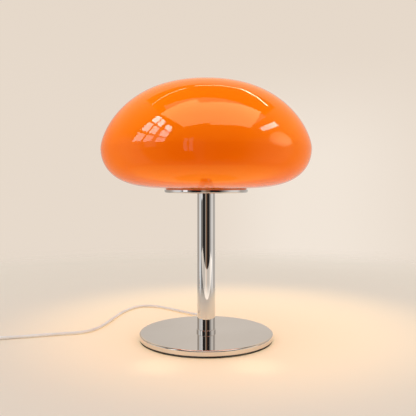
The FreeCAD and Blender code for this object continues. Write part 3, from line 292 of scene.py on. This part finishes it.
FINISHES = make_finishes()


def wear_finishes():
    """Give every CAD node the finish of its own slot."""
    for node in NODES.values():
        for slot in node.material_slots:
            slot.material = FINISHES[slot.material.name.split(".")[0]]


# ---------------------------------------------------------------- pieces
def piece_from(name, shape, slot, body="root"):
    """Turn a bmesh into a smooth piece that rides on a body and wears a slot's finish."""
    mesh = bpy.data.meshes.new(name)
    shape.to_mesh(mesh)
    shape.free()
    mesh.materials.append(FINISHES[slot])
    mesh.shade_smooth()
    piece = bpy.data.objects.new(name, mesh)
    bpy.context.scene.collection.objects.link(piece)
    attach(piece, body)
    return piece


def spun(outline, steps):
    """Turn a closed outline of (radius, height) round the stem's axis."""
    shape = bmesh.new()
    corners = [shape.verts.new((radius, 0.0, height)) for radius, height in outline]
    edges = [shape.edges.new(pair) for pair in zip(corners, corners[1:])]
    if outline[0][0] > 0 and outline[-1][0] > 0:
        edges.append(shape.edges.new((corners[-1], corners[0])))
    bmesh.ops.spin(shape, geom=corners + edges, cent=(0, 0, 0), axis=(0, 0, 1), dvec=(0, 0, 0),
                   angle=math.tau, steps=steps, use_merge=True)
    bmesh.ops.remove_doubles(shape, verts=shape.verts, dist=SAME_POINT)
    bmesh.ops.recalc_face_normals(shape, faces=shape.faces)
    return shape


def oval_share(radius, widest, powers):
    """How much of its reach the oval section still has at this radius."""
    return max(0.0, 1 - (radius / widest) ** powers[0]) ** (1 / powers[1])


def glass_skin(widest, crown, belly, opening, points):
    """Points up one skin of the glass, from its opening past the widest line to the crown."""
    skin = []
    for step in range(points):
        radius = opening + (widest - opening) * math.sin(math.pi / 2 * step / points)
        drop = belly * oval_share(radius, widest, BELLY_POWERS)
        skin.append((radius, SHADE_EQUATOR - drop))
    for step in range(points):
        radius = widest * math.cos(math.pi / 2 * step / points)
        skin.append((radius, SHADE_EQUATOR + crown * oval_share(radius, widest, CROWN_POWERS)))
    skin.append((0.0, SHADE_EQUATOR + crown))
    return skin


def blow_shade():
    """The orange glass: one even wall, ground flat round its mouth."""
    belly = SHADE_BELOW / oval_share(SHADE_RIM_RADIUS, SHADE_RADIUS, BELLY_POWERS)
    outside = glass_skin(SHADE_RADIUS, SHADE_CROWN, belly, SHADE_RIM_RADIUS,
                         OUTSIDE_POINTS)
    inside = glass_skin(SHADE_RADIUS - SHADE_WALL, SHADE_CROWN - SHADE_WALL,
                        belly - SHADE_WALL, SHADE_MOUTH, INSIDE_POINTS)
    rim_height = SHADE_EQUATOR - SHADE_BELOW
    outline = list(reversed(inside)) + [(SHADE_MOUTH, rim_height)] + outside
    piece = piece_from("blown_shade", spun(outline, SHADE_STEPS), "orange_glass", "shade")
    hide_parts("glass_shade")
    return piece


# ---------------------------------------------------------------- cord
def coil_spot(turns):
    """A point of the wound cord after so many turns: it winds in and out, layer on layer."""
    inner = COIL_MIDDLE_RADIUS - COIL_PITCH * TURNS_PER_LAYER / 2
    swing = turns % (2 * TURNS_PER_LAYER)
    radius = inner + COIL_PITCH * abs(TURNS_PER_LAYER - swing)
    layer, within = divmod(turns + LAYER_START, TURNS_PER_LAYER)
    climb = min(within, CLIMB_TURNS) / CLIMB_TURNS
    if layer == 0 or layer * TURNS_PER_LAYER >= COIL_TURNS:
        layer, climb = max(layer - 1, 0), float(layer > 0)
    else:
        layer -= 1
    rise = COIL_PITCH * (layer + climb * climb * (3 - 2 * climb))
    angle = math.pi - math.tau * turns
    centre = COIL_PLACE + Vector((0, 0, COIL_FLOOR_GAP + CORD_RADIUS + rise))
    return centre + Vector((radius * math.cos(angle), radius * math.sin(angle), 0))


def lay_cord():
    """The whole cord as one spline: out of the base, through the switch and coil to the plug."""
    route = [CORD_EXIT] + FLOOR_RUN + THROUGH_SWITCH + COIL_APPROACH
    route += [tuple(coil_spot(step / POINTS_PER_TURN))
              for step in range(COIL_TURNS * POINTS_PER_TURN + 1)]
    route += PLUG_APPROACH + [PLUG_TAIL]
    curve = bpy.data.curves.new("lamp_cord", "CURVE")
    curve.dimensions = "3D"
    curve.bevel_depth = CORD_RADIUS
    curve.bevel_resolution = 4
    curve.resolution_u = 8
    curve.use_fill_caps = True
    spline = curve.splines.new("NURBS")
    spline.points.add(len(route) - 1)
    for point, spot in zip(spline.points, route):
        point.co = (*spot, 1.0)
    spline.order_u = 3
    spline.use_endpoint_u = True
    curve.materials.append(FINISHES["cord_sheath"])
    cord = bpy.data.objects.new("lamp_cord", curve)
    bpy.context.scene.collection.objects.link(cord)
    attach(cord, "root")
    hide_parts("cord_to_switch", "cord_to_coil", "cord_coil", "cord_to_plug")


# ---------------------------------------------------------------- stage
def place_camera():
    camera_data = bpy.data.cameras.new("photo_camera")
    camera_data.sensor_width = SENSOR_WIDTH
    camera_data.lens = FOCAL_PIXELS / PHOTO_SIDE * SENSOR_WIDTH
    camera_data.shift_x = 0.5 - LAMP_AXIS_PIXELS / PHOTO_SIDE
    camera_data.shift_y = HORIZON_PIXELS / PHOTO_SIDE - 0.5
    camera = bpy.data.objects.new("photo_camera", camera_data)
    camera.location = CAMERA_PLACE
    camera.rotation_euler = (math.pi / 2, 0.0, 0.0)
    bpy.context.scene.collection.objects.link(camera)
    bpy.context.scene.camera = camera


def distance_from_axis(wiring):
    """How far a shaded spot is from the stem's axis, seen from above."""
    spot = wiring.add("ShaderNodeSeparateXYZ")
    wiring.feed(spot.inputs[0], wiring.place())
    across, along = spot.outputs[0], spot.outputs[1]
    return wiring.math("SQRT", wiring.math("ADD", wiring.math("MULTIPLY", across, across),
                                           wiring.math("MULTIPLY", along, along)))


def lay_floor():
    """A plain pale table top that fades out into the backdrop well away from the lamp."""
    shape = bmesh.new()
    bmesh.ops.create_circle(shape, cap_ends=True, radius=FLOOR_REACH, segments=FLOOR_SIDES)
    mesh = bpy.data.meshes.new("pale_floor")
    shape.to_mesh(mesh)
    shape.free()
    material = bpy.data.materials.new("pale_floor")
    material.use_nodes = True
    wiring = Wiring(material.node_tree)
    shader = material.node_tree.nodes["Principled BSDF"]
    shader.inputs["Base Color"].default_value = FLOOR_COLOUR
    shader.inputs["Roughness"].default_value = 0.6
    shader.inputs["Specular IOR Level"].default_value = 0.15
    rays = wiring.add("ShaderNodeLightPath").outputs

    # Polished pieces see the table end where the room begins; the camera sees it melt away.
    start, end = [wiring.math("MULTIPLY_ADD", rays["Is Glossy Ray"], mirrored - seen, seen)
                  for seen, mirrored in zip(FADE_SEEN, FADE_MIRRORED)]
    blend = wiring.add("ShaderNodeMixShader")
    wiring.feed(blend.inputs[0], wiring.step(distance_from_axis(wiring), start, end))
    wiring.feed(blend.inputs[1], shader.outputs[0])
    wiring.feed(blend.inputs[2], wiring.add("ShaderNodeBsdfTransparent").outputs[0])
    output = material.node_tree.nodes["Material Output"]
    wiring.feed(output.inputs["Surface"], blend.outputs[0])
    mesh.materials.append(material)
    floor = bpy.data.objects.new("pale_floor", mesh)
    floor.location = (0, 0, -FLOOR_DROP)
    bpy.context.scene.collection.objects.link(floor)
    return floor


def bearing_ramp(wiring, turn, stops):
    """A ramp of light round the room: each stop is a bearing in degrees and its colour."""
    ramp = wiring.add("ShaderNodeValToRGB")
    wiring.feed(ramp.inputs[0], turn)
    elements = ramp.color_ramp.elements
    for number, (degrees, colour) in enumerate(stops):
        place = degrees / 360 + 0.5
        if number == 0:
            stop = elements[0]
        elif number == len(stops) - 1:
            stop = elements[-1]
        else:
            stop = elements.new(place)
        stop.position = place
        stop.color = colour
    return ramp.outputs[0]


def paint_room():
    """A cream backdrop for the camera, and a dim studio with pale walls for the reflections."""
    world = bpy.data.worlds.new("studio")
    bpy.context.scene.world = world
    world.use_nodes = True
    tree = world.node_tree
    wiring = Wiring(tree)
    heading = wiring.add("ShaderNodeSeparateXYZ")
    wiring.feed(heading.inputs[0], wiring.add("ShaderNodeTexCoord").outputs["Generated"])
    across, along, up = heading.outputs

    backdrop = wiring.mix(wiring.step(up, -0.26, -0.10), BACKDROP_LOW, BACKDROP_MIDDLE)
    backdrop = wiring.mix(wiring.step(up, 0.05, 0.30), backdrop, BACKDROP_HIGH)
    # Painted light: a brighter patch on the backdrop to the right of the lamp.
    lit_patch = wiring.math("MULTIPLY", wiring.step(across, -0.02, 0.15),
                        wiring.step(across, 0.19, 0.44, 1.0, 0.0))
    lit_patch = wiring.math("MULTIPLY", lit_patch, wiring.step(up, 0.02, 0.22, 1.0, 0.0))
    backdrop = wiring.mix(lit_patch, backdrop, BACKDROP_LIT_PATCH)

    # Bearings: 0 is in front of the lamp, + is to its right, 180 is behind it.
    bearing = wiring.math("ARCTAN2", across, wiring.math("MULTIPLY", along, -1.0))
    turn = wiring.math("MULTIPLY_ADD", bearing, 0.5 / math.pi, 0.5)
    low_walls = bearing_ramp(wiring, turn, [
        (-180, grey(0.68, 0.10)), (-158, grey(0.48, 0.08)), (-122, grey(0.42, 0.15)),
        (-108, grey(0.55, 0.10)), (-96, grey(0.90, 0.03)), (-74, grey(1.0, -0.02)),
        (-68, grey(0.26, 0.04)), (-46, grey(0.20, 0.10)), (-38, grey(0.015)),
        (-15, grey(0.015)), (-11, grey(0.36, 0.15)), (-3, grey(0.34, 0.2)),
        (0, BROWN_WALL), (8, BROWN_WALL), (12, grey(0.015)), (36, grey(0.02)),
        (44, grey(0.20, 0.10)), (57, grey(0.50, 0.05)),
        (70, grey(0.88, 0.05)), (95, grey(0.94, 0.06)), (108, grey(0.46, 0.10)),
        (136, grey(0.56, 0.08)), (180, grey(0.68, 0.10))])
    high_walls = bearing_ramp(wiring, turn, [
        (-180, grey(0.80, 0.24)), (-140, grey(0.70, 0.24)), (-96, grey(0.30, 0.10)),
        (-60, grey(0.10)), (-40, grey(0.10)), (50, grey(0.10)), (64, grey(0.30, 0.1)),
        (80, grey(0.50, 0.2)), (110, grey(0.55, 0.2)), (140, grey(0.70, 0.24)),
        (180, grey(0.80, 0.24))])
    walls = wiring.mix(wiring.step(up, *WALLS_MEET), low_walls, high_walls)

    # The dark ceiling shows through an opening above the walls.
    lifted = wiring.math("MAXIMUM", up, LEVEL_LIMIT)
    left_right = wiring.math("DIVIDE", across, lifted)
    fore_aft = wiring.math("DIVIDE", along, lifted)
    side = wiring.math("ABSOLUTE", wiring.math("SUBTRACT", left_right, CEILING_SHIFT))
    depth = wiring.math("ABSOLUTE", fore_aft)
    edge = wiring.math("MAXIMUM", wiring.math("SUBTRACT", side, CEILING_HALF_WIDTH),
                       wiring.math("SUBTRACT", depth, CEILING_HALF_DEPTH))
    ceiling = wiring.step(edge, -CEILING_SOFTNESS, CEILING_SOFTNESS, 1.0, 0.0)
    room = wiring.mix(ceiling, walls, grey(0.06, 0.05))

    rays = wiring.add("ShaderNodeLightPath").outputs
    overhead = wiring.math("MULTIPLY", wiring.math("MAXIMUM", up, 0.0), up)
    ambient = wiring.math("MULTIPLY_ADD", overhead, AMBIENT_ABOVE, AMBIENT_ALL)
    seen_or_ambient = wiring.mix(rays["Is Camera Ray"], ambient, backdrop)
    colour = wiring.mix(rays["Is Glossy Ray"], seen_or_ambient, room)
    wiring.feed(tree.nodes["Background"].inputs["Color"], colour)


def hang_light(name, place, aim, size, power, colour, shows=True, lights=True,
               shape="RECTANGLE", turn=0.0, on=None, blocked_by=None):
    """A light that the camera never sees; shows is for reflections, lights for the rest."""
    if shape == "SPOT":
        lamp = bpy.data.lights.new(name, "SPOT")
        lamp.shadow_soft_size = size[0]
        lamp.spot_size = math.radians(SPOT_CONE)
        lamp.spot_blend = SPOT_BLEND
    else:
        lamp = bpy.data.lights.new(name, "AREA")
        lamp.shape = shape
        lamp.size, lamp.size_y = size
    lamp.energy = power
    lamp.color = colour
    light = bpy.data.objects.new(name, lamp)
    light.location = place
    light.rotation_euler = (Vector(aim) - Vector(place)).to_track_quat("-Z", "Y").to_euler()
    light.rotation_euler.z += math.radians(turn)
    light.visible_camera = False
    light.visible_glossy = shows
    light.visible_diffuse = lights
    light.visible_transmission = False
    light.light_linking.receiver_collection = on
    light.light_linking.blocker_collection = blocked_by
    bpy.context.scene.collection.objects.link(light)
    return light


def only_on(name, piece):
    """A collection of one piece, for lights that reach nothing else."""
    chosen = bpy.data.collections.new(name)
    chosen.objects.link(piece)
    return chosen


def hang_overhead(on_glass):
    """Two soft boxes over the lamp, set a little askew, and the ceiling's edge behind them."""
    for name, along, across, size, power in (
            ("overhead_left", -0.30, -0.47, (0.60, 0.82), 14.0),
            ("overhead_right", 0.45, -0.41, (0.90, 0.81), 21.0)):
        hang_light(name, (along, across, CEILING_HEIGHT), (along, across, 0.0), size, power,
                   BOX_YELLOW, lights=False, turn=BOX_TURN, on=on_glass)
    hang_light("overhead_soft", (0.2, -0.35, CEILING_HEIGHT), (0.2, -0.35, 0.0), (1.5, 0.8),
               7.0, SOFT_WHITE, lights=False)
    for name, along, across, length, power, turn in (
            ("ceiling_edge_right", 0.56, 0.60, 0.50, 1.5, -27),
            ("ceiling_edge_middle", 0.12, 0.66, 0.46, 0.30, 12),
            ("ceiling_edge_left", -0.43, 0.44, 0.56, 0.35, 24)):
        hang_light(name, (along, across, CEILING_HEIGHT), (along, across, 0.0),
                   (length, EDGE_WIDTH), power, EDGE_CREAM, lights=False, turn=turn, on=on_glass)


def hang_windows(on_glass):
    """A window of nine panes at the left, and a far one with two beside the camera."""
    for column, (along, width) in enumerate(PANE_COLUMNS):
        for row, glare in enumerate(PANE_GLARE):
            high = LOWEST_PANE + PANE_STEP * row
            hang_light("window_pane_{}{}".format(column, row), (-WALL_DISTANCE, along, high),
                       (0.0, along, high), (width, PANE_TALL), glare * width * PANE_TALL,
                       DAYLIGHT, lights=False, on=on_glass)
    hang_light("window_on_chrome", (-WALL_DISTANCE, -0.66, 0.60), (0.0, -0.66, 0.60),
               (0.33, 1.0), 1.3, DAYLIGHT, lights=False)
    hang_light("right_card", (WALL_DISTANCE, -0.17, 0.96), (0.0, -0.1, 0.2), (0.55, 0.12), 4.5,
               SOFT_WHITE, lights=False, on=on_glass)
    for side in (-1, 1):
        hang_light("far_window", (-0.180 + 0.030 * side, -0.60, 0.22), (0.0, -0.08, 0.2),
                   (0.040, 0.42), 0.14, DAYLIGHT, lights=False, on=on_glass)


def hang_blobs(on_glass):
    """Three discs in one place make a soft spot at the right; the table shows from below."""
    for wide, power in ((0.26, 1.0), (0.40, 1.9), (0.56, 3.0)):
        hang_light("right_glow", (WALL_DISTANCE, -0.137, 0.448), (0.0, -0.1, 0.19),
                   (wide, wide), power, BLOB_YELLOW, lights=False, shape="DISK", on=on_glass)
    bright_table = hang_light("bright_table", (0.0, 0.25, 0.0085), (0.0, 0.25, 1.0),
                              (0.66, 0.87), 2.6, TABLE_ORANGE, lights=False,
                              shape="ELLIPSE", on=on_glass)
    bright_table.data.spread = math.radians(TABLE_SPREAD)


def glow_through(on_glass):
    """The glass glows a lighter orange where more light falls into it."""
    inside = {"shows": False, "on": on_glass, "blocked_by": on_glass}
    hang_light("glass_top_glow", (0.0, -0.15, 1.3), (0.0, 0.0, 0.2), (0.5, 0.5), 13.5,
               GLOW_TINT, **inside)
    hang_light("glass_under_glow", (0.0, 0.0, 0.03), (0.0, 0.0, 1.0), (0.40, 0.40), 0.42,
               GLOW_TINT, shape="DISK", **inside)
    for side in (-1, 1):
        hang_light("glass_side_glow", (1.2 * side, 0.1, 0.25), (0.0, 0.0, 0.2), (0.8, 0.8),
                   15.0, GLOW_TINT, **inside)


def light_table(floor):
    """A warm pool round the lamp, two small glints before it and a sheen for the stem."""
    pool = {"shows": False, "shape": "SPOT", "on": only_on("pool_receivers", floor),
            "blocked_by": only_on("pool_blockers", floor)}
    hang_light("warm_pool", (0.03, 0.06, 1.0), (0.03, 0.06, 0), (0.04, 0.04), 17.5,
               POOL_AMBER, **pool)
    for side in (-1, 1):
        hang_light("table_glint", (0.042 * side, -0.088, 0.10), (0.042 * side, -0.088, 0.0),
                   (0.01, 0.01), 0.06, GLINT_CREAM, **pool)

    # The chrome stem sees further across the table than the glass does.
    sheen = hang_light("table_sheen", (0.0, -0.335, 0.001), (0.0, -0.335, 1.0), (1.2, 0.26),
                       0.75, SHEEN_CREAM, lights=False,
                       on=only_on("stem_receivers", NODES["stem_tube"]))
    sheen.rotation_euler = (math.pi, 0.0, math.radians(SHEEN_TURN))


def light_studio(shade, floor):
    """The room's reflections on the glass, the light inside it and the light on the table."""
    on_glass = only_on("glass_receivers", shade)
    hang_overhead(on_glass)
    hang_windows(on_glass)
    hang_blobs(on_glass)
    glow_through(on_glass)
    light_table(floor)


place_camera()
lay_cord()
shade = blow_shade()
wear_finishes()
floor = lay_floor()
paint_room()
light_studio(shade, floor)
bpy.context.scene.view_settings.view_transform = "Standard"
